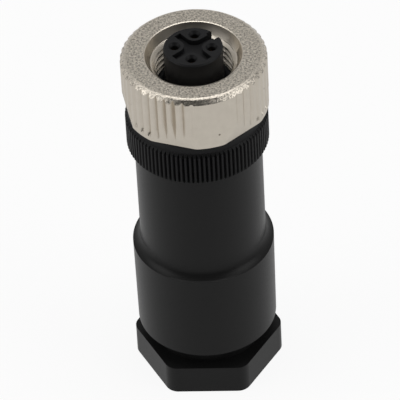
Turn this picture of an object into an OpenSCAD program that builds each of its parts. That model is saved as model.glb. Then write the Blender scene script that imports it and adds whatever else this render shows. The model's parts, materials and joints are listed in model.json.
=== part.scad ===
// Straight M12 cable socket, four poles, A-coded, with screw terminals and a cable gland.
// It stands on the hexagon of its pressing screw: the Z axis is the axis of every round piece,
// Z = 0 is the hexagon's lower face, and the socket face looks up.
// Threads are drawn as plain cylinders at their working diameters. Millimetres.

/* [Heights] */
// Height of the hexagon on the pressing screw
hex_h = 4.7; // [3.5:0.1:7]
// Gap left between the hexagon and the sleeve
gland_gap = 3.0; // [1.5:0.1:5]
// Height of the sleeve's wide lower part
sleeve_low_h = 14.8; // [13:0.1:22]
// Height of the sleeve above its step
sleeve_up_h = 18.85; // [17:0.05:28]
// Height of the ribbed collar
rib_h = 5.45; // [3:0.05:9]
// Height of the plain band above the ribs
band_h = 1.35; // [0.9:0.05:3]
// Height of the coupling nut
nut_h = 8.8; // [7.4:0.1:12]
// How far the socket face stands above the coupling nut
insert_rise = 1.3; // [0.2:0.1:2.5]

/* [Coupling nut] */
// Outer diameter over the knurl
nut_d = 20.64; // [18.5:0.02:25]
// Number of knurl teeth
nut_teeth = 48; // [36:6:60]
// Depth of the knurl notches
nut_notch = 0.45; // [0.2:0.05:0.8]
// Chamfer between the top face and the knurl
nut_chamfer = 0.72; // [0.3:0.02:1.2]
// Height of the plain band under the knurl
nut_plain_h = 0.8; // [0.5:0.1:2]
// Width across the six shallow flats at the lower edge
nut_flats = 19.4; // [18:0.05:24]
// Minor diameter of the M12 x 1 internal thread
thread_minor_d = 10.92; // [10.4:0.02:11.5]
// Diameter of the countersink at the top face
mouth_d = 13.66; // [12.6:0.02:15]
// Depth of the countersink
mouth_depth = 1.25; // [0.8:0.05:2]
// Axial float of the nut on the contact carrier
nut_float = 1.0; // [0.4:0.1:1.2]

/* [Contact carrier] */
// Diameter of the insert, which enters the mating plug
insert_d = 8.35; // [8:0.05:8.6]
// Diameter of the circle through the contacts
contact_circle_d = 5.2; // [5:0.05:5.4]
// Turn of the contact pattern about the axis, in degrees
insert_turn = -6.8; // [-45:0.1:45]
// Width of the coding keyway
key_w = 1.7; // [1.2:0.05:1.9]
// Width of the recess arms between the contacts
recess_w = 1.0; // [0.7:0.05:1.2]
// Depth of the recess in the socket face
recess_depth = 0.8; // [0.4:0.05:1]
// Diameter over the collar's ribs
collar_d = 20.24; // [18.6:0.02:24]
// Number of ribs on the collar
collar_ribs = 96; // [72:4:108]
// Depth of the grooves between the ribs
rib_depth = 0.37; // [0.2:0.01:0.6]
// Diameter of the thread that screws into the sleeve
plug_d = 15.24; // [14.4:0.02:15.6]
// Length of that thread
plug_h = 4.85; // [4:0.05:6.5]
// How far the terminal block is set in from that thread
block_step = 1.02; // [0.8:0.02:1.4]
// Height of the terminal block
block_h = 6.5; // [6:0.1:8]

/* [Contacts and terminals] */
// Pin diameter that a contact takes
pin_d = 1.0; // [0.8:0.05:1.1]
// Diameter of a contact's rear end
terminal_d = 3.3; // [3.1:0.05:3.5]
// Diameter of the wire hole
wire_d = 2.0; // [1.8:0.05:2.1]
// Diameter of a terminal screw
screw_d = 1.8; // [1.4:0.05:1.9]
// Travel of a terminal screw
screw_travel = 0.8; // [0.4:0.1:0.9]

/* [Sleeve] */
// Diameter of the upper part
sleeve_up_d = 18.12; // [17.6:0.02:22]
// Diameter of the lower part at its step
sleeve_low_d = 20.38; // [19.6:0.02:26]
// Draft of the lower part, lost from its radius at the lower edge
sleeve_draft = 0.12; // [0:0.01:0.3]
// Radius of the hollow fillet above the step
step_fillet = 1.85; // [1.3:0.05:2.5]
// Inner diameter of the wiring space
chamber_d = 14.7; // [14.2:0.05:14.9]

/* [Cable gland] */
// Width across flats of the hexagon
hex_af = 19; // [17:0.5:24]
// Rounding of the hexagon's corners
hex_corner = 2.0; // [0.5:0.1:3]
// Turn of the hexagon about the axis, in degrees
hex_turn = -3.5; // [-30:0.1:30]
// Diameter of the pressing screw's thread
shank_d = 16; // [15:0.1:16.4]
// Length of that thread inside the sleeve
shank_in = 6.0; // [5:0.1:7]
// Diameter of the cable entry
cable_d = 8.6; // [7:0.1:9.4]
// Bore of the cable seal
seal_bore_d = 6.8; // [5.6:0.1:7.4]
// Height of the cable seal
seal_h = 5.6; // [4.5:0.1:7]
// Number of fingers on the clamping cage
cage_fingers = 8; // [6:2:10]

/* [Fits] */
// Gap between faces that meet
face_gap = 0.05; // [0.03:0.01:0.1]
// Radial gap of threads, shafts and moving seals
run_gap = 0.06; // [0.03:0.01:0.1]
// Radial gap of a contact in the carrier
seat_gap = 0.02; // [0.01:0.01:0.04]

/* [Hidden] */
$fn = 96;
eps = 0.01;

nickel = "#b9b1a6";
plastic = "#1d1d1e";
gold = "#c9a24a";
bronze = "#b0793a";
steel = "#a9abad";
rubber = "#131313";

// Levels from the bottom up
z_sleeve = hex_h + gland_gap;
z_step = z_sleeve + sleeve_low_h;
z_collar = z_step + sleeve_up_h;
z_band = z_collar + rib_h;
z_collar_top = z_band + band_h;
z_nut = z_collar_top + face_gap;
z_nut_top = z_nut + nut_h;
z_face = z_nut_top + insert_rise;

// The nut's seat: a snap ring in the nut floats under the carrier's flange
neck_r = thread_minor_d/2 - 0.76;
flange_r = thread_minor_d/2 - run_gap;
ring_h = 0.6;
groove_r = thread_minor_d/2 + 0.44;
z_ring = z_nut + 0.55;
z_flange = z_ring + ring_h + nut_float + face_gap;
flange_h = 0.9;
front_seal_w = 1.0;
insert_root_step = 0.17;
insert_root_r = insert_d/2 + insert_root_step;
z_insert_root = z_flange + flange_h + front_seal_w + face_gap;

// The carrier's plug, its seal and the terminal block
z_plug = z_collar - plug_h;
z_block = z_plug - block_h;
block_d = plug_d - 2*block_step;
seal_w = 1.0;
z_carrier_seal = z_collar - 0.75;
seal_groove_r = plug_d/2 - 0.69;
sleeve_seal_r = seal_groove_r + seal_w + 2*face_gap;

// Contacts
contact_r = contact_circle_d/2;
barrel_r = pin_d/2 + 0.4;
shank_pin_r = barrel_r + 0.1;
barb_r = shank_pin_r + 0.25;
bore_depth = 6.5;
spring_slot_w = 0.2;
spring_slot_h = 4.5;
entry_h = 1.1;
entry_hole_r = pin_d/2 + 0.05;
entry_funnel_h = 0.42;
entry_funnel_r = pin_d/2 + 0.36;
z_barrel_top = z_face - entry_h;
z_barb = z_collar + 0.4;
barb_h = 1.2;
z_terminal = z_block + 0.2;
terminal_h = block_h - 0.2;
wire_depth = terminal_h - 1.2;
z_screw = z_terminal + wire_depth*0.48;
saddle_h = 3.0;
saddle_r = wire_d/2 - face_gap;
saddle_wall = 0.22;
saddle_half_angle = 50;
screw_tip_r = contact_r + saddle_r + face_gap;
screw_len = block_d/2 - screw_tip_r - 0.1;

// Gland: the screw carries the cage, and the cage carries the seal
stop_gap = 0.3;
travel_in = gland_gap - stop_gap;
z_shank = z_sleeve + shank_in;
cage_h = 1.25;
z_cage = z_shank + face_gap;
z_seal = z_cage + cage_h + face_gap;
z_seal_top = z_seal + seal_h;
z_seat = z_seal_top + travel_in + stop_gap;
seat_h = 1.4;
z_chamber = z_seat + seat_h;
sleeve_bore_r = shank_d/2 + run_gap;
cage_r = sleeve_bore_r - 0.3;
finger_r = shank_d/2 - 1.8;
finger_wall = 1.2;
cup_r = finger_r + 0.3;
finger_drop = 5.4;
entry_r = 0.6;

// Points on an arc about (x, y), from angle a0 to angle a1
function arc(x, y, r, a0, a1, n) =
    [for (i = [0:n]) let (a = a0 + (a1 - a0)*i/n) [x + r*cos(a), y + r*sin(a)]];

// A point at radius r and angle a
function polar(r, a) = [r*cos(a), r*sin(a)];

// A solid of revolution from a profile of [radius, height] points
module turned(points) {
    rotate_extrude() polygon(points);
}

// A plain ring of round section, centred on height z
module o_ring(inner_r, section, z) {
    translate([0, 0, z]) rotate_extrude() translate([inner_r + section/2, 0]) circle(d = section, $fn = 32);
}

// Places a child at contact k, counted anticlockwise, with +X pointing outwards
module at_contact(k) {
    rotate([0, 0, insert_turn + 90*k]) translate([contact_r, 0, 0]) children();
}

// ---------------------------------------------------------------- coupling nut

// The knurl is cast in two halves, so its notches run out towards the two parting lines
parting_angle = -75;
fade_from = 11;
fade_to = 33;
function off_parting(a) = let (d = abs((a - parting_angle + 720) % 180)) min(d, 180 - d);
function notch_at(a) = nut_notch*min(1, max(0, (off_parting(a) - fade_from)/(fade_to - fade_from)));
tooth = 360/nut_teeth;
crest_share = 0.42;
flat_turn = -50.5;
flat_slope = 11;
nut_band_r = nut_d/2 + 0.04;

module knurl_outline() {
    polygon([for (i = [0:nut_teeth - 1])
        let (a = parting_angle + i*tooth, w = tooth*crest_share/2)
        for (p = [[nut_d/2, -w], [nut_d/2, w], [nut_d/2 - notch_at(a + tooth/2), tooth/2]])
        polar(p[0], a + p[1])]);
}

module coupling_nut() {
    color(nickel)
    difference() {
        intersection() {
            union() {
                translate([0, 0, z_nut + nut_plain_h]) linear_extrude(nut_h - nut_plain_h) knurl_outline();
                turned([[0, z_nut], [nut_band_r - 0.25, z_nut], [nut_band_r, z_nut + 0.25],
                        [nut_band_r, z_nut + nut_plain_h], [0, z_nut + nut_plain_h]]);
            }
            top_chamfer(nut_d/2, nut_chamfer, z_nut - 1, z_nut_top);
        }
        for (i = [0:5]) nut_flat_cut(flat_turn + 60*i);
        nut_bore();
    }
}

// The space inside a 45 degree chamfer, which takes c off radius r at height z1
module top_chamfer(r, c, z0, z1) {
    turned([[0, z0], [r + 1, z0], [r + 1, z1 - c - 1], [r - c, z1], [0, z1]]);
}

// Takes one shallow flat off the lower edge; it leans outwards and dies out in the knurl
module nut_flat_cut(a) {
    rotate([0, 0, a]) translate([nut_flats/2, 0, z_nut]) rotate([0, flat_slope, 0])
        translate([0, -nut_d/2, -nut_h/2]) cube([nut_d/4, nut_d, nut_h*1.5]);
}

// The countersunk mouth, the thread's core and the groove of the snap ring
module nut_bore() {
    core_r = thread_minor_d/2;
    turned([[0, z_nut - 1], [core_r + 0.3, z_nut - 1], [core_r + 0.3, z_nut], [core_r, z_nut + 0.3],
            [core_r, z_nut_top - mouth_depth - 0.45], [mouth_d/2 - 0.75, z_nut_top - mouth_depth],
            [mouth_d/2 - 0.08, z_nut_top - 0.1], [mouth_d/2 + 0.02, z_nut_top],
            [mouth_d/2 + 0.02, z_nut_top + 1], [0, z_nut_top + 1]]);
    translate([0, 0, z_ring - face_gap]) cylinder(r = groove_r, h = ring_h + 2*face_gap);
}

module nut_retaining_ring() {
    color(steel)
    translate([0, 0, z_ring])
    difference() {
        cylinder(r = groove_r - face_gap, h = ring_h);
        translate([0, 0, -1]) cylinder(r = neck_r + 2*run_gap, h = ring_h + 2);
        translate([0, -0.8, -1]) cube([groove_r + 1, 1.6, ring_h + 2]);
    }
}

// ------------------------------------------------------------- contact carrier

collar_chamfer = 0.42;
band_r = collar_d/2 - rib_depth - 0.05;

module front_seal() {
    color(rubber) o_ring(insert_root_r + 0.02, front_seal_w, z_flange + flange_h + front_seal_w/2 + 0.02);
}

module rib_outline() {
    step = 360/collar_ribs;
    rib_flat = 0.2;
    polygon([for (i = [0:collar_ribs - 1])
        for (p = [[collar_d/2, -rib_flat], [collar_d/2, rib_flat], [collar_d/2 - rib_depth, 0.5]])
        polar(p[0], (i + p[1])*step)]);
}

// The ribbed collar with its two chamfers, and the plain band above
module collar() {
    reach = collar_d/2 + 1;
    intersection() {
        translate([0, 0, z_collar]) linear_extrude(rib_h) rib_outline();
        turned([[0, z_collar], [collar_d/2 - collar_chamfer, z_collar], [reach, z_collar + collar_chamfer + 1],
                [reach, z_band - rib_depth - 1 - eps], [band_r - eps, z_band], [0, z_band]]);
    }
    turned([[0, z_band - 2*rib_depth], [band_r, z_band - 2*rib_depth], [band_r, z_collar_top - 0.2],
            [band_r - 0.2, z_collar_top], [0, z_collar_top]]);
}

// Everything round about the axis, without the collar: insert, flange, neck, plug and block
module carrier_core() {
    insert_r = insert_d/2;
    turned([[0, z_block], [block_d/2 - 0.3, z_block], [block_d/2, z_block + 0.3], [block_d/2, z_plug],
            [plug_d/2 - 0.3, z_plug], [plug_d/2, z_plug + 0.3],
            [plug_d/2, z_carrier_seal - seal_w/2 - face_gap], [seal_groove_r, z_carrier_seal - seal_w/2 - face_gap],
            [seal_groove_r, z_carrier_seal + seal_w/2 + face_gap],
            [plug_d/2, z_carrier_seal + seal_w/2 + face_gap], [plug_d/2, z_collar + eps],
            [neck_r + 1, z_collar + eps], [neck_r + 1, z_band], [neck_r, z_band], [neck_r, z_flange],
            [flange_r, z_flange], [flange_r, z_flange + flange_h], [insert_root_r, z_flange + flange_h],
            [insert_root_r, z_insert_root], [insert_r, z_insert_root + insert_root_step],
            [insert_r, z_face - 0.2], [insert_r - 0.2, z_face], [0, z_face]]);
}

// The recess in the socket face: arms between the contacts, with round lands left about the holes
module face_recess() {
    land_r = contact_r*sin(45) - recess_w/2;
    arm_r = insert_d/2 - 0.75;
    translate([0, 0, z_face - recess_depth]) linear_extrude(recess_depth + 1) difference() {
        union() {
            for (a = [45, 135]) rotate(a) square([2*arm_r, recess_w], center = true);
            square(2*(contact_r - land_r*sin(45)), center = true);
        }
        for (k = [0:3]) rotate(90*k) translate([contact_r, 0]) circle(r = land_r);
    }
}

module keyway() {
    rotate([0, 0, 45]) translate([insert_d/2 - 1.05, -key_w/2, z_flange + flange_h])
        cube([2, key_w, z_face]);
}

// The stepped hole that a contact is pressed into from behind, with a funnel at the socket face
module contact_hole() {
    turned([[0, z_block - 1], [terminal_d/2 + seat_gap, z_block - 1],
            [terminal_d/2 + seat_gap, z_terminal + terminal_h + seat_gap],
            [barb_r + seat_gap, z_terminal + terminal_h + seat_gap], [barb_r + seat_gap, z_barb + barb_h + seat_gap],
            [barrel_r + seat_gap, z_barb + barb_h + seat_gap], [barrel_r + seat_gap, z_barrel_top + seat_gap],
            [entry_hole_r, z_barrel_top + seat_gap], [entry_hole_r, z_face - entry_funnel_h],
            [entry_funnel_r, z_face], [entry_funnel_r, z_face + 1], [0, z_face + 1]]);
}

// The radial hole over a terminal screw
module screw_hole() {
    translate([0, 0, z_screw]) rotate([0, 90, 0]) cylinder(d = screw_d + 2*run_gap, h = block_d, $fn = 48);
}

module contact_carrier() {
    color(plastic)
    difference() {
        union() {
            carrier_core();
            collar();
        }
        rotate([0, 0, insert_turn]) {
            face_recess();
            keyway();
        }
        for (k = [0:3]) at_contact(k) {
            contact_hole();
            screw_hole();
        }
    }
}

// ------------------------------------------------------- contacts and terminals

module contact(k) {
    color(gold)
    at_contact(k)
    difference() {
        turned([[0, z_terminal], [terminal_d/2 - 0.15, z_terminal], [terminal_d/2, z_terminal + 0.15],
                [terminal_d/2, z_terminal + terminal_h], [shank_pin_r, z_terminal + terminal_h],
                [shank_pin_r, z_barb], [barb_r, z_barb + 0.5], [barb_r, z_barb + barb_h],
                [barrel_r, z_barb + barb_h], [barrel_r, z_barrel_top - 0.2], [barrel_r - 0.15, z_barrel_top],
                [0, z_barrel_top]]);
        translate([0, 0, z_terminal - 1]) cylinder(d = wire_d, h = wire_depth + 1);
        translate([0, 0, z_barrel_top - bore_depth]) cylinder(d = pin_d, h = bore_depth + 1);
        translate([-spring_slot_w/2, -barrel_r - 1, z_barrel_top - spring_slot_h])
            cube([spring_slot_w, 2*barrel_r + 2, spring_slot_h + 1]);
        screw_hole();
    }
}

// A curved strip that keeps the screw's tip off the strands
module wire_saddle(k) {
    color(bronze)
    at_contact(k)
    translate([0, 0, z_screw - saddle_h/2])
    linear_extrude(saddle_h)
    polygon(concat(arc(0, 0, saddle_r, -saddle_half_angle, saddle_half_angle, 12),
                   arc(0, 0, saddle_r - saddle_wall, saddle_half_angle, -saddle_half_angle, 12)));
}

module terminal_screw(k) {
    tip = saddle_r + face_gap;
    color(steel)
    at_contact(k)
    translate([tip, 0, z_screw])
    rotate([0, 90, 0])
    difference() {
        turned([[0, 0], [screw_d/2 - 0.25, 0], [screw_d/2, 0.25], [screw_d/2, screw_len - 0.15],
                [screw_d/2 - 0.15, screw_len], [0, screw_len]]);
        translate([-0.2, -screw_d, screw_len - 0.8]) cube([0.4, 2*screw_d, 1]);
    }
}

// ----------------------------------------------------------------------- sleeve

module carrier_seal() {
    color(rubber) o_ring(seal_groove_r + face_gap, seal_w, z_carrier_seal);
}

module housing_sleeve() {
    up_r = sleeve_up_d/2;
    low_r = sleeve_low_d/2;
    z_top = z_collar - face_gap;
    z_fillet = z_step + step_fillet*cos(asin((up_r + step_fillet - low_r)/step_fillet));
    meet = acos((up_r + step_fillet - low_r)/step_fillet);
    thread_r = plug_d/2 + run_gap;
    z_seal_bore = z_carrier_seal - seal_w/2 - 0.2;
    color(plastic)
    turned(concat(
        [[sleeve_bore_r + 0.4, z_sleeve], [low_r - sleeve_draft - 0.2, z_sleeve],
         [low_r - sleeve_draft, z_sleeve + 0.2], [low_r, z_step - 0.12]],
        arc(up_r + step_fillet, z_fillet, step_fillet, 180 + meet, 180, 8),
        [[up_r, z_top - 0.25], [up_r - 0.25, z_top], [sleeve_seal_r, z_top],
         [sleeve_seal_r, z_seal_bore], [thread_r, z_seal_bore - 0.3],
         [thread_r, z_plug - 0.6], [chamber_d/2, z_plug - 0.9], [chamber_d/2, z_chamber],
         [seal_bore_d/2 + 2.2, z_chamber], [seal_bore_d/2 + 2.2, z_seat + 0.5],
         [seal_bore_d/2 + 2.7, z_seat], [sleeve_bore_r, z_seat], [sleeve_bore_r, z_sleeve + 0.4]]));
}

// ------------------------------------------------------------------ cable gland

module cable_seal() {
    in_r = seal_bore_d/2;
    out_r = cage_r;
    color(rubber)
    turned([[in_r + 0.6, z_seal], [out_r - 0.9, z_seal], [out_r, z_seal + 0.9],
            [out_r, z_seal + seal_h/2 - 0.4], [out_r - 0.35, z_seal + seal_h/2],
            [out_r, z_seal + seal_h/2 + 0.4], [out_r, z_seal_top - 0.6], [out_r - 0.6, z_seal_top],
            [in_r + 0.6, z_seal_top], [in_r, z_seal_top - 0.6], [in_r, z_seal + 0.6]]);
}

// A ring on top of the pressing screw, with fingers that hang in its cup
module clamping_cage() {
    in_r = finger_r - finger_wall;
    z_tip = z_shank - finger_drop;
    color(plastic)
    difference() {
        turned([[in_r, z_tip], [finger_r - 0.7, z_tip], [finger_r, z_tip + 1.2], [finger_r, z_cage],
                [cage_r, z_cage], [cage_r, z_cage + cage_h - 0.2], [cage_r - 0.2, z_cage + cage_h],
                [in_r + 0.3, z_cage + cage_h], [in_r, z_cage + cage_h - 0.3]]);
        for (i = [0:cage_fingers/2 - 1]) rotate([0, 0, 180*i/(cage_fingers/2)])
            translate([-finger_r - 1, -0.5, z_tip - 1]) cube([2*finger_r + 2, 1, finger_drop - 0.6 + 1]);
    }
}

// A hexagonal prism with rounded upright corners
module round_hexagon(h) {
    corner_r = (hex_af/2 - hex_corner)/cos(30);
    flat_half = (hex_af/2 - hex_corner)*tan(30);
    linear_extrude(h) polygon([for (i = [0:5]) for (s = [-1, 1])
        polar(norm([hex_af/2, flat_half]), 60*i - 90 + s*atan2(flat_half, hex_af/2))]);
    for (i = [0:5]) rotate([0, 0, 60*i - 60]) translate([corner_r, 0, 0]) cylinder(r = hex_corner, h = h);
}

module pressing_screw() {
    z_cone = z_shank - finger_drop - 2.6;
    color(plastic)
    difference() {
        union() {
            rotate([0, 0, hex_turn]) round_hexagon(hex_h);
            turned([[0, hex_h - eps], [shank_d/2, hex_h - eps], [shank_d/2, z_shank - 0.5],
                    [shank_d/2 - 0.5, z_shank], [0, z_shank]]);
        }
        turned([[0, -1], [cable_d/2 + entry_r, -1], [cable_d/2 + entry_r, 0], [cable_d/2, entry_r],
                [cable_d/2, z_cone], [cup_r, z_cone + 2.2], [cup_r, z_shank + 1], [0, z_shank + 1]]);
    }
}

coupling_nut();
nut_retaining_ring();
front_seal();
contact_carrier();
contact(0);  // contact_1
contact(1);  // contact_2
contact(2);  // contact_3
contact(3);  // contact_4
wire_saddle(0);  // wire_saddle_1
wire_saddle(1);  // wire_saddle_2
wire_saddle(2);  // wire_saddle_3
wire_saddle(3);  // wire_saddle_4
terminal_screw(0);  // terminal_screw_1
terminal_screw(1);  // terminal_screw_2
terminal_screw(2);  // terminal_screw_3
terminal_screw(3);  // terminal_screw_4
carrier_seal();
housing_sleeve();
cable_seal();
clamping_cage();
pressing_screw();
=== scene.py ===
"""M12 cable socket: its finishes and the nut's knurl, thread and rounded rim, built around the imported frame."""

import json
import math

import bpy
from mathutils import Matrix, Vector


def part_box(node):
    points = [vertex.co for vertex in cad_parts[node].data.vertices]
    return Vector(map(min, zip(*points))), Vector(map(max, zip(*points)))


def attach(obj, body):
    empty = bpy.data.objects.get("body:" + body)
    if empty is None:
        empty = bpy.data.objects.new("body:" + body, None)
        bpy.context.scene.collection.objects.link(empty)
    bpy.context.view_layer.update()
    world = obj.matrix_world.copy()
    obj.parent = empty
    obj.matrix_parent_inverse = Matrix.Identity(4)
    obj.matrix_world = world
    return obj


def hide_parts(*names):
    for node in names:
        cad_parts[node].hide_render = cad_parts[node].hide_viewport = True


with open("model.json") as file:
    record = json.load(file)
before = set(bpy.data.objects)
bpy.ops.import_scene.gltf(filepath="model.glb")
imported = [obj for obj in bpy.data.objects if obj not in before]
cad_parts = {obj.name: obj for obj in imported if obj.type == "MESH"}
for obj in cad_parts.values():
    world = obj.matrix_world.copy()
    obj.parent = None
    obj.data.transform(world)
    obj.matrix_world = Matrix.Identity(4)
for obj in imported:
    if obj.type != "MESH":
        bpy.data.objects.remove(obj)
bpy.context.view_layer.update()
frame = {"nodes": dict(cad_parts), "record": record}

MM = 0.001
TURN = 2 * math.pi
MATH = "ShaderNodeMath"

# ------------------------------------------------------------------------------ sizes, in millimetres
nut_low, nut_high = (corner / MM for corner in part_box("coupling_nut"))

NUT_RADIUS = 10.32
NUT_TEETH = 48
NUT_NOTCH = 0.45
NUT_CHAMFER = 0.72
NUT_PLAIN = 0.8
NUT_BAND_STEP = 0.04
NUT_LOW_EDGE = 0.2
NUT_RIM_EDGE = 0.22
NUT_FLATS = 19.4
NUT_FLAT_SLOPE = 11
NUT_FLAT_TURN = -50.5
CREST_SHARE = 0.4
COLUMNS_A_TOOTH = 10
KNURL_RUNOUT = 0.45
PARTING_ANGLE = -75
NOTCH_FADE_FROM = 11
NOTCH_FADE_TO = 33
FACE_MIDDLE = 8.4
MOUTH_RADIUS = 6.83
MOUTH_DEPTH = 1.25
MOUTH_EDGE = 0.1
THREAD_MINOR = 5.46
THREAD_PITCH = 1.0
THREAD_DEPTH = 0.54
THREAD_ROW = 0.083
RING_GROOVE_DEPTH = 0.44
GRAIN_SIZE = 0.3

# Each speck's turn about the axis in degrees, its height, and its radius
SPECKS = ((-161, 53.9, 0.10), (-152, 52.6, 0.12), (-73, 50.4, 0.12), (-22, 53.2, 0.10), (-19, 54.3, 0.10))


# ------------------------------------------------------------------------------------------ node trees
def add(tree, kind, inputs=(), out=0, **settings):
    """Adds a node. Its inputs, values or other nodes' outputs, come in order or by name. Gives one output."""
    made = tree.nodes.new(kind)
    for name, value in settings.items():
        setattr(made, name, value)
    for key, value in inputs.items() if isinstance(inputs, dict) else enumerate(inputs):
        if isinstance(value, bpy.types.NodeSocket):
            tree.links.new(value, made.inputs[key])
        else:
            made.inputs[key].default_value = value
    return made.outputs[out] if len(made.outputs) else made


def linear(code):
    """The linear colour of an sRGB hex code."""
    parts = [int(code[i:i + 2], 16) / 255 for i in (1, 3, 5)]
    return tuple(c / 12.92 if c <= 0.04045 else ((c + 0.055) / 1.055) ** 2.4 for c in parts) + (1.0,)


# --------------------------------------------------------------------------------- the turned-part tree
TURNED_INPUTS = {
    "Columns": 192, "Teeth": 1, "Notch depth": 0.0, "Crest share": 0.42, "Parting angle": 0.0,
    "Fade from": -1.0, "Fade to": 0.0, "Flats": 100.0, "Flat slope": 0.0, "Flat turn": 0.0, "Flat base": 0.0,
    "Pitch": 1.0, "Thread depth": 0.0, "Thread radius": 0.0,
}
MARKS = ("notched", "climbs", "inner_thread", "flatted", "grain")


def turned_tree():
    """A tree that turns a profile about Z, and cuts knurl notches, flats and a thread where it is marked."""
    tree = bpy.data.node_groups.new("Turned part", "GeometryNodeTree")
    tree.interface.new_socket("Geometry", in_out="OUTPUT", socket_type="NodeSocketGeometry")
    tree.interface.new_socket("Profile", in_out="INPUT", socket_type="NodeSocketGeometry")
    for name, value in TURNED_INPUTS.items():
        kind = "NodeSocketInt" if isinstance(value, int) else "NodeSocketFloat"
        tree.interface.new_socket(name, in_out="INPUT", socket_type=kind).default_value = value
    tree.interface.new_socket("Material", in_out="INPUT", socket_type="NodeSocketMaterial")
    given = add(tree, "NodeGroupInput").node.outputs

    # A grid with one column for each step round the axis, and one row for each point of the profile
    rows = add(tree, "GeometryNodeAttributeDomainSize", {"Geometry": given["Profile"]}, out="Point Count")
    grid_columns = add(tree, MATH, (given["Columns"], 1), operation="ADD")
    grid = add(tree, "GeometryNodeMeshGrid", {
        "Size X": 1.0, "Size Y": 1.0, "Vertices X": grid_columns, "Vertices Y": rows})
    index = add(tree, "GeometryNodeInputIndex")
    row = add(tree, MATH, (index, rows), operation="MODULO")
    column = add(tree, MATH, (index, rows), operation="DIVIDE")
    column = add(tree, MATH, (column,), operation="FLOOR")
    share = add(tree, MATH, (column, given["Columns"]), operation="DIVIDE")
    angle = add(tree, MATH, (share, TURN), operation="MULTIPLY")
    point = add(tree, "GeometryNodeSampleIndex", {
        "Geometry": given["Profile"], "Value": add(tree, "GeometryNodeInputPosition"), "Index": row},
        data_type="FLOAT_VECTOR")
    split = add(tree, "ShaderNodeSeparateXYZ", (point,)).node.outputs
    mark = {}
    for name in MARKS:
        stored = add(tree, "GeometryNodeInputNamedAttribute", {"Name": name}, data_type="FLOAT")
        mark[name] = add(tree, "GeometryNodeSampleIndex", {
            "Geometry": given["Profile"], "Value": stored, "Index": row}, data_type="FLOAT")

    # V notches between flat crests, which fade out towards the two parting lines
    turned_from = add(tree, MATH, (angle, given["Parting angle"]), operation="SUBTRACT")
    teeth_a_turn = add(tree, MATH, (given["Teeth"], TURN), operation="DIVIDE")
    tooth = add(tree, MATH, (turned_from, teeth_a_turn), operation="MULTIPLY")
    off_crest = add(tree, MATH, (tooth, 0.5), operation="PINGPONG")
    off_crest = add(tree, MATH, (off_crest, 2), operation="MULTIPLY")
    notch = add(tree, "ShaderNodeMapRange", {
        "Value": off_crest, "From Min": given["Crest share"], "From Max": 1.0})
    off_parting = add(tree, MATH, (turned_from, TURN / 4), operation="PINGPONG")
    shown = add(tree, "ShaderNodeMapRange", {
        "Value": off_parting, "From Min": given["Fade from"], "From Max": given["Fade to"]})
    cut = add(tree, MATH, (notch, shown), operation="MULTIPLY")
    cut = add(tree, MATH, (cut, given["Notch depth"]), operation="MULTIPLY")
    cut = add(tree, MATH, (cut, mark["notched"]), operation="MULTIPLY")
    radius = add(tree, MATH, (split["X"], cut), operation="SUBTRACT")
    climb = add(tree, MATH, (cut, mark["climbs"]), operation="MULTIPLY")
    height = add(tree, MATH, (split["Z"], climb), operation="ADD")

    # Six flats that lean outwards from their base
    off_flat = add(tree, MATH, (angle, given["Flat turn"]), operation="SUBTRACT")
    off_flat = add(tree, MATH, (off_flat, TURN / 12), operation="PINGPONG")
    above_base = add(tree, MATH, (height, given["Flat base"]), operation="SUBTRACT")
    slope = add(tree, MATH, (given["Flat slope"],), operation="TANGENT")
    lean = add(tree, MATH, (above_base, slope), operation="MULTIPLY")
    half_flats = add(tree, MATH, (given["Flats"], 2), operation="DIVIDE")
    to_flat = add(tree, MATH, (half_flats, lean), operation="ADD")
    across = add(tree, MATH, (off_flat,), operation="COSINE")
    to_flat = add(tree, MATH, (to_flat, across), operation="DIVIDE")
    beyond = add(tree, MATH, (radius, to_flat), operation="SUBTRACT")
    beyond = add(tree, MATH, (beyond, 0), operation="MAXIMUM")
    beyond = add(tree, MATH, (beyond, mark["flatted"]), operation="MULTIPLY")
    radius = add(tree, MATH, (radius, beyond), operation="SUBTRACT")

    # A right-hand inner thread, cut outwards from its minor radius
    phase = add(tree, MATH, (height, given["Pitch"]), operation="DIVIDE")
    phase = add(tree, MATH, (phase, share), operation="SUBTRACT")
    off_ridge = add(tree, MATH, (phase, 0.5), operation="PINGPONG")
    off_ridge = add(tree, MATH, (off_ridge, 2), operation="MULTIPLY")
    groove = add(tree, "ShaderNodeMapRange", {"Value": off_ridge, "From Min": 0.22, "From Max": 0.86})
    depth = add(tree, MATH, (groove, given["Thread depth"]), operation="MULTIPLY")
    to_thread = add(tree, MATH, (given["Thread radius"], depth), operation="ADD")
    threaded = add(tree, MATH, (radius, to_thread), operation="MAXIMUM")
    outward = add(tree, MATH, (threaded, radius), operation="SUBTRACT")
    outward = add(tree, MATH, (outward, mark["inner_thread"]), operation="MULTIPLY")
    radius = add(tree, MATH, (radius, outward), operation="ADD")

    cosine = add(tree, MATH, (angle,), operation="COSINE")
    sine = add(tree, MATH, (angle,), operation="SINE")
    place = add(tree, "ShaderNodeCombineXYZ", (
        add(tree, MATH, (radius, cosine), operation="MULTIPLY"),
        add(tree, MATH, (radius, sine), operation="MULTIPLY"), height))
    place = add(tree, "ShaderNodeVectorMath", {0: place, "Scale": MM}, operation="SCALE")
    grain = add(tree, "GeometryNodeStoreNamedAttribute", {
        "Geometry": grid, "Name": "grain", "Value": mark["grain"]}, data_type="FLOAT", domain="POINT")
    shaped = add(tree, "GeometryNodeSetPosition", {"Geometry": grain, "Position": place})
    closed = add(tree, "GeometryNodeMergeByDistance", {"Geometry": shaped, "Distance": 0.001 * MM})
    real = add(tree, "GeometryNodeRealizeInstances", {"Geometry": closed})
    coated = add(tree, "GeometryNodeSetMaterial", {"Geometry": real, "Material": given["Material"]})
    add(tree, "NodeGroupOutput", {"Geometry": coated})
    return tree


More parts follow.
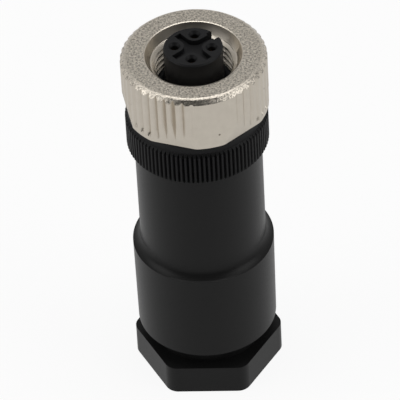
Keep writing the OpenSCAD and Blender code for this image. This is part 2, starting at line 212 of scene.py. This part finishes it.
def turned(name, tree, profile, material, sharp=30, **sizes):
    """One closed turned piece. A profile point is (radius, height, marks), and the outside comes first."""
    mesh = bpy.data.meshes.new(name + " profile")
    loop = profile + profile[:1]
    edges = [(i, i + 1) for i in range(len(loop) - 1)]
    mesh.from_pydata([(radius, 0, height) for radius, height, _ in loop], edges, [])
    for mark in MARKS:
        stored = mesh.attributes.new(mark, "FLOAT", "POINT")
        stored.data.foreach_set("value", [marks.get(mark, 0.0) for _, _, marks in loop])
    maker = bpy.data.objects.new(name + " maker", mesh)
    bpy.context.scene.collection.objects.link(maker)
    modifier = maker.modifiers.new("Turned part", "NODES")
    modifier.node_group = tree
    values = {**sizes, "Material": material}
    for item in tree.interface.items_tree:
        if item.in_out == "INPUT" and item.name in values:
            modifier[item.identifier] = values[item.name]
    evaluated = maker.evaluated_get(bpy.context.evaluated_depsgraph_get())
    made = bpy.data.meshes.new_from_object(evaluated)
    bpy.data.objects.remove(maker)
    made.name = name
    made.shade_smooth()
    made.set_sharp_from_angle(angle=math.radians(sharp))
    piece = bpy.data.objects.new(name, made)
    bpy.context.scene.collection.objects.link(piece)
    return piece


def arc(radius, height, size, start, end, steps, **marks):
    """Profile points on an arc about (radius, height), from angle start to angle end in degrees."""
    angles = [math.radians(start + (end - start) * i / steps) for i in range(steps + 1)]
    return [(radius + size * math.cos(a), height + size * math.sin(a), marks) for a in angles]


def steps_down(radius, top, bottom, step, **marks):
    """Profile points down a bore, no further apart than step."""
    count = math.ceil((top - bottom) / step)
    return [(radius, top + (bottom - top) * i / count, marks) for i in range(count + 1)]


# ------------------------------------------------------------------------------------------- finishes
def finish(name):
    """A new material with an empty tree."""
    material = bpy.data.materials.new(name)
    material.use_nodes = True
    material.node_tree.nodes.clear()
    return material, material.node_tree


def nickel_plated_zinc():
    """Nickel over a zinc die casting: warm grey, satin where the die was polished, sparkling where grained, with
    the grain's glints and pit shade partly painted into its colour.
    """
    material, tree = finish("nickel-plated zinc casting")
    place = add(tree, "ShaderNodeTexCoord", out="Object")
    grain_mark = add(tree, "ShaderNodeAttribute", out="Fac", attribute_name="grain")
    # The eroded die leaves facets of about half the grain size. Besides their bump, painted glints and painted
    # pit shade brighten or darken them one by one in the colour.
    facets = add(tree, "ShaderNodeTexNoise", {
        "Vector": place, "Scale": 1 / (GRAIN_SIZE * MM), "Detail": 2.0, "Roughness": 0.7})
    # Tarnish varies the tone over about a millimetre
    tarnish = add(tree, "ShaderNodeTexNoise", {"Vector": place, "Scale": 1 / (1.1 * MM), "Detail": 3.0})
    tone = add(tree, "ShaderNodeMix", {
        "Factor": tarnish, 6: linear("#dad2c5"), 7: linear("#cdc5b8")}, out=2, data_type="RGBA")
    # Painted glints and painted shade in the pits: grained facets are multiplied up to 1.12 brighter or down to
    # 0.42 darker
    facet_glints_and_pit_shade = add(tree, "ShaderNodeMapRange", {
        "Value": facets, "From Min": 0.36, "From Max": 0.60, "To Min": 0.42, "To Max": 1.12})
    tone_with_painted_glints = add(tree, "ShaderNodeMix", {
        "Factor": 1.0, 6: tone, 7: facet_glints_and_pit_shade}, out=2, data_type="RGBA", blend_type="MULTIPLY")
    colour = add(tree, "ShaderNodeMix", {
        "Factor": grain_mark, 6: tone, 7: tone_with_painted_glints}, out=2, data_type="RGBA", clamp_factor=True)
    # A few brown specks where the plating is thin
    for turn, height, size in SPECKS:
        around = math.radians(turn)
        centre = Vector((NUT_RADIUS * math.cos(around), NUT_RADIUS * math.sin(around), height)) * MM
        gap = add(tree, "ShaderNodeVectorMath", (place, centre), out="Value", operation="DISTANCE")
        bare = add(tree, "ShaderNodeMapRange", {
            "Value": gap, "From Min": 0.6 * size * MM, "From Max": 1.7 * size * MM,
            "To Min": 0.9, "To Max": 0.0})
        colour = add(tree, "ShaderNodeMix", {
            "Factor": bare, 6: colour, 7: linear("#54422f")}, out=2, data_type="RGBA")
    rough = add(tree, "ShaderNodeMapRange", {"Value": grain_mark, "To Min": 0.36, "To Max": 0.30})
    relief = add(tree, MATH, (facets, grain_mark), operation="MULTIPLY")
    bump = add(tree, "ShaderNodeBump", {"Strength": 1.0, "Distance": 0.07 * MM, "Height": relief})
    shader = add(tree, "ShaderNodeBsdfPrincipled", {
        "Base Color": colour, "Metallic": 1.0, "Roughness": rough, "Normal": bump})
    add(tree, "ShaderNodeOutputMaterial", {"Surface": shader})
    return material


def moulded_polymer(name, code, roughness, grain_size, bump_size, gloss):
    """Black polyamide or rubber from a polished or eroded mould: near black, with a soft sheen."""
    material, tree = finish(name)
    place = add(tree, "ShaderNodeTexCoord", out="Object")
    grain = add(tree, "ShaderNodeTexNoise", {"Vector": place, "Scale": 1 / (grain_size * MM), "Detail": 4.0})
    rough = add(tree, "ShaderNodeMapRange", {
        "Value": grain, "To Min": roughness - 0.06, "To Max": roughness + 0.06})
    bump = add(tree, "ShaderNodeBump", {"Strength": 0.35, "Distance": bump_size * MM, "Height": grain})
    shader = add(tree, "ShaderNodeBsdfPrincipled", {
        "Base Color": linear(code), "Roughness": rough, "Specular IOR Level": gloss, "Normal": bump})
    add(tree, "ShaderNodeOutputMaterial", {"Surface": shader})
    return material


def plated_metal(name, code, roughness, mark_size):
    """Turned or rolled metal with its fine tool marks."""
    material, tree = finish(name)
    place = add(tree, "ShaderNodeTexCoord", out="Object")
    marks = add(tree, "ShaderNodeTexNoise", {"Vector": place, "Scale": 1 / (mark_size * MM), "Detail": 2.0})
    rough = add(tree, "ShaderNodeMapRange", {
        "Value": marks, "To Min": roughness - 0.05, "To Max": roughness + 0.08})
    bump = add(tree, "ShaderNodeBump", {"Strength": 0.2, "Distance": 0.01 * MM, "Height": marks})
    shader = add(tree, "ShaderNodeBsdfPrincipled", {
        "Base Color": linear(code), "Metallic": 1.0, "Roughness": rough, "Normal": bump})
    add(tree, "ShaderNodeOutputMaterial", {"Surface": shader})
    return material


nickel = nickel_plated_zinc()
slot_materials = {
    "nickel_zinc": nickel,
    "housing_plastic": moulded_polymer("moulded black polyamide, satin", "#171717", 0.34, 0.35, 0.01, 0.16),
    "carrier_plastic": moulded_polymer("moulded black polyamide, matt", "#151516", 0.5, 0.2, 0.02, 0.16),
    "seal_rubber": moulded_polymer("black nitrile rubber", "#131313", 0.62, 0.3, 0.01, 0.2),
    "gilt_brass": plated_metal("gold-plated brass", "#d9ae55", 0.22, 0.2),
    "bronze_strip": plated_metal("rolled bronze strip", "#b0793a", 0.35, 0.3),
    "screw_steel": plated_metal("nickel-plated steel", "#b4b5b6", 0.3, 0.2),
    "spring_steel": plated_metal("bright spring steel", "#9a9c9e", 0.3, 0.25),
}
for subpart in frame["record"]["subparts"]:
    node = frame["nodes"][subpart["node"]]
    node.data.materials.clear()
    node.data.materials.append(slot_materials[subpart["material_slot"]])


# -------------------------------------------------------------------------------------------- the nut
def nut_profile():
    """The nut's section, up the knurled outside and down through the threaded bore."""
    base, top = nut_low.z, nut_high.z
    rim = NUT_RADIUS - NUT_CHAMFER
    band = NUT_RADIUS + NUT_BAND_STEP
    band_top = base + NUT_PLAIN
    knurl_low = band_top + KNURL_RUNOUT
    knurl_high = top - NUT_CHAMFER
    knurled = {"notched": 1, "flatted": 1}

    outside = arc(band - NUT_LOW_EDGE, base + NUT_LOW_EDGE, NUT_LOW_EDGE, -90, 0, 4, flatted=1)
    outside += [(band, band_top - 0.05, {"flatted": 1}), (band - 0.02, band_top + 0.04, {"flatted": 1})]
    outside += [(NUT_RADIUS, knurl_low + (knurl_high - knurl_low) * i / 6, knurled) for i in range(6)]
    outside += [
        (NUT_RADIUS, knurl_high, {"notched": 1, "climbs": 1}),
        (NUT_RADIUS - 0.02, knurl_high + 0.02, {"notched": 1, "climbs": 1, "grain": 1}),
        (rim + 0.13, top - 0.13, {"grain": 1})]
    outside += arc(rim - NUT_RIM_EDGE * 0.4, top - NUT_RIM_EDGE, NUT_RIM_EDGE, 45, 90, 7, grain=0.25)

    face = [(radius, top, {"grain": 1}) for radius in (rim - NUT_RIM_EDGE, FACE_MIDDLE, MOUTH_RADIUS + 0.2)]

    mouth_low = top - MOUTH_DEPTH
    mouth = arc(MOUTH_RADIUS + MOUTH_EDGE, top - MOUTH_EDGE, MOUTH_EDGE, 90, 180, 4)
    mouth += [(MOUTH_RADIUS - 0.72, mouth_low, {"inner_thread": 1})]
    mouth += [
        (THREAD_MINOR + 0.45 * (1 - i / 8), mouth_low - 0.1 - 0.35 * i / 8, {"inner_thread": 1})
        for i in range(8)]
    bore = steps_down(THREAD_MINOR, mouth_low - 0.45, base + 1.7, THREAD_ROW, inner_thread=1)
    groove_radius = THREAD_MINOR + RING_GROOVE_DEPTH
    groove = [
        (THREAD_MINOR, base + 1.6, {}), (THREAD_MINOR, base + 1.2, {}), (groove_radius, base + 1.2, {}),
        (groove_radius, base + 0.5, {}), (THREAD_MINOR, base + 0.5, {}), (THREAD_MINOR, base + 0.3, {}),
        (THREAD_MINOR + 0.3, base, {})]
    return outside + face + mouth + bore + groove


nut = turned("nut_casting", turned_tree(), nut_profile(), nickel, **{
    "Columns": NUT_TEETH * COLUMNS_A_TOOTH, "Teeth": NUT_TEETH, "Notch depth": NUT_NOTCH,
    "Crest share": CREST_SHARE, "Parting angle": math.radians(PARTING_ANGLE),
    "Fade from": math.radians(NOTCH_FADE_FROM), "Fade to": math.radians(NOTCH_FADE_TO),
    "Flats": NUT_FLATS, "Flat slope": math.radians(NUT_FLAT_SLOPE), "Flat turn": math.radians(NUT_FLAT_TURN),
    "Flat base": nut_low.z, "Pitch": THREAD_PITCH, "Thread depth": THREAD_DEPTH, "Thread radius": THREAD_MINOR})
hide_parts("coupling_nut")
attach(nut, "nut")


# ------------------------------------------------------------------------------------------- the stage
def build_surroundings():
    """White to the eye. A reflection finds white low down, grey behind, and a dark studio in front."""
    world = bpy.data.worlds.new("studio")
    bpy.context.scene.world = world
    world.use_nodes = True
    tree = world.node_tree
    tree.nodes.clear()
    path = add(tree, "ShaderNodeLightPath").node.outputs
    towards = add(tree, "ShaderNodeTexCoord", out="Generated")
    split = add(tree, "ShaderNodeSeparateXYZ", (towards,)).node.outputs
    behind = add(tree, "ShaderNodeMapRange", {
        "Value": split["Z"], "From Min": 0.0, "From Max": 0.5, "To Min": 0.8, "To Max": 0.47})
    backward = add(tree, "ShaderNodeMapRange", {"Value": split["Y"], "From Min": -0.05, "From Max": 0.3})
    mirrored = add(tree, "ShaderNodeMix", {"Factor": backward, 2: 0.035, 3: behind})
    plain = add(tree, MATH, (path["Is Camera Ray"], path["Is Transmission Ray"]), operation="MAXIMUM")
    unseen = add(tree, "ShaderNodeMix", {"Factor": path["Is Glossy Ray"], 2: 0.32, 3: mirrored})
    strength = add(tree, "ShaderNodeMix", {"Factor": plain, 2: unseen, 3: 1.0})
    around = add(tree, "ShaderNodeBackground", {"Color": linear("#ffffff"), "Strength": strength})
    add(tree, "ShaderNodeOutputWorld", {"Surface": around})


def build_floor():
    """A pale floor that keeps the object's shadow, white to the eye and a little less in reflections."""
    mesh = bpy.data.meshes.new("floor")
    half = 3.0
    corners = [(-half, -half, 0), (half, -half, 0), (half, half, 0), (-half, half, 0)]
    mesh.from_pydata(corners, [], [(0, 1, 2, 3)])
    floor = bpy.data.objects.new("floor", mesh)
    floor.location.z = -0.02 * MM
    bpy.context.scene.collection.objects.link(floor)
    material, tree = finish("pale floor")
    path = add(tree, "ShaderNodeLightPath").node.outputs
    lit = add(tree, "ShaderNodeBsdfDiffuse", {"Color": linear("#e8e8e8")})
    seen = add(tree, MATH, (path["Is Camera Ray"], path["Is Transmission Ray"]), operation="MAXIMUM")
    brightness = add(tree, "ShaderNodeMix", {"Factor": seen, 2: 0.72, 3: 1.0})
    glow = add(tree, "ShaderNodeEmission", {"Color": linear("#ffffff"), "Strength": brightness})
    shown = add(tree, MATH, (seen, path["Is Glossy Ray"]), operation="MAXIMUM")
    share = add(tree, MATH, (shown, 0.9), operation="MULTIPLY")
    mixed = add(tree, "ShaderNodeMixShader", (share, lit, glow))
    add(tree, "ShaderNodeOutputMaterial", {"Surface": mixed})
    mesh.materials.append(material)


def softbox(name, place, size, watts):
    """A square area lamp, sized in metres, that faces the middle of the object."""
    middle = Vector((0, 0, 0.04))
    lamp = bpy.data.lights.new(name, "AREA")
    lamp.shape = "RECTANGLE"
    lamp.size, lamp.size_y = size
    lamp.energy = watts
    holder = bpy.data.objects.new(name, lamp)
    holder.location = place
    holder.rotation_euler = (middle - Vector(place)).to_track_quat("-Z", "Y").to_euler()
    bpy.context.scene.collection.objects.link(holder)


def build_camera():
    """A long lens, well above the object and looking down at it."""
    camera = bpy.data.cameras.new("camera")
    camera.lens = 416.31
    camera.sensor_width = 36
    camera.clip_start = 0.01
    holder = bpy.data.objects.new("camera", camera)
    yaw, pitch, roll = math.radians(-0.0255), math.radians(42.52), math.radians(-3.217)
    forward = Vector((
        math.sin(yaw) * math.cos(pitch), math.cos(yaw) * math.cos(pitch), -math.sin(pitch)))
    level_right = forward.cross(Vector((0, 0, 1))).normalized()
    level_up = level_right.cross(forward)
    turn = holder.matrix_world.to_3x3()
    turn.col[0] = level_right * math.cos(roll) + level_up * math.sin(roll)
    turn.col[1] = level_up * math.cos(roll) - level_right * math.sin(roll)
    turn.col[2] = -forward
    holder.matrix_world = turn.to_4x4()
    holder.location = Vector((0, -489.17, 477.84)) * MM
    bpy.context.scene.collection.objects.link(holder)
    bpy.context.scene.camera = holder


build_surroundings()
build_floor()
softbox("overhead", (0, 0.05, 0.55), (0.42, 0.26), 1.1)
softbox("left", (-0.52, -0.12, 0.38), (0.42, 0.5), 1.2)
softbox("right", (0.48, -0.18, 0.38), (0.42, 0.5), 1.2)
build_camera()
bpy.context.scene.view_settings.view_transform = "Standard"
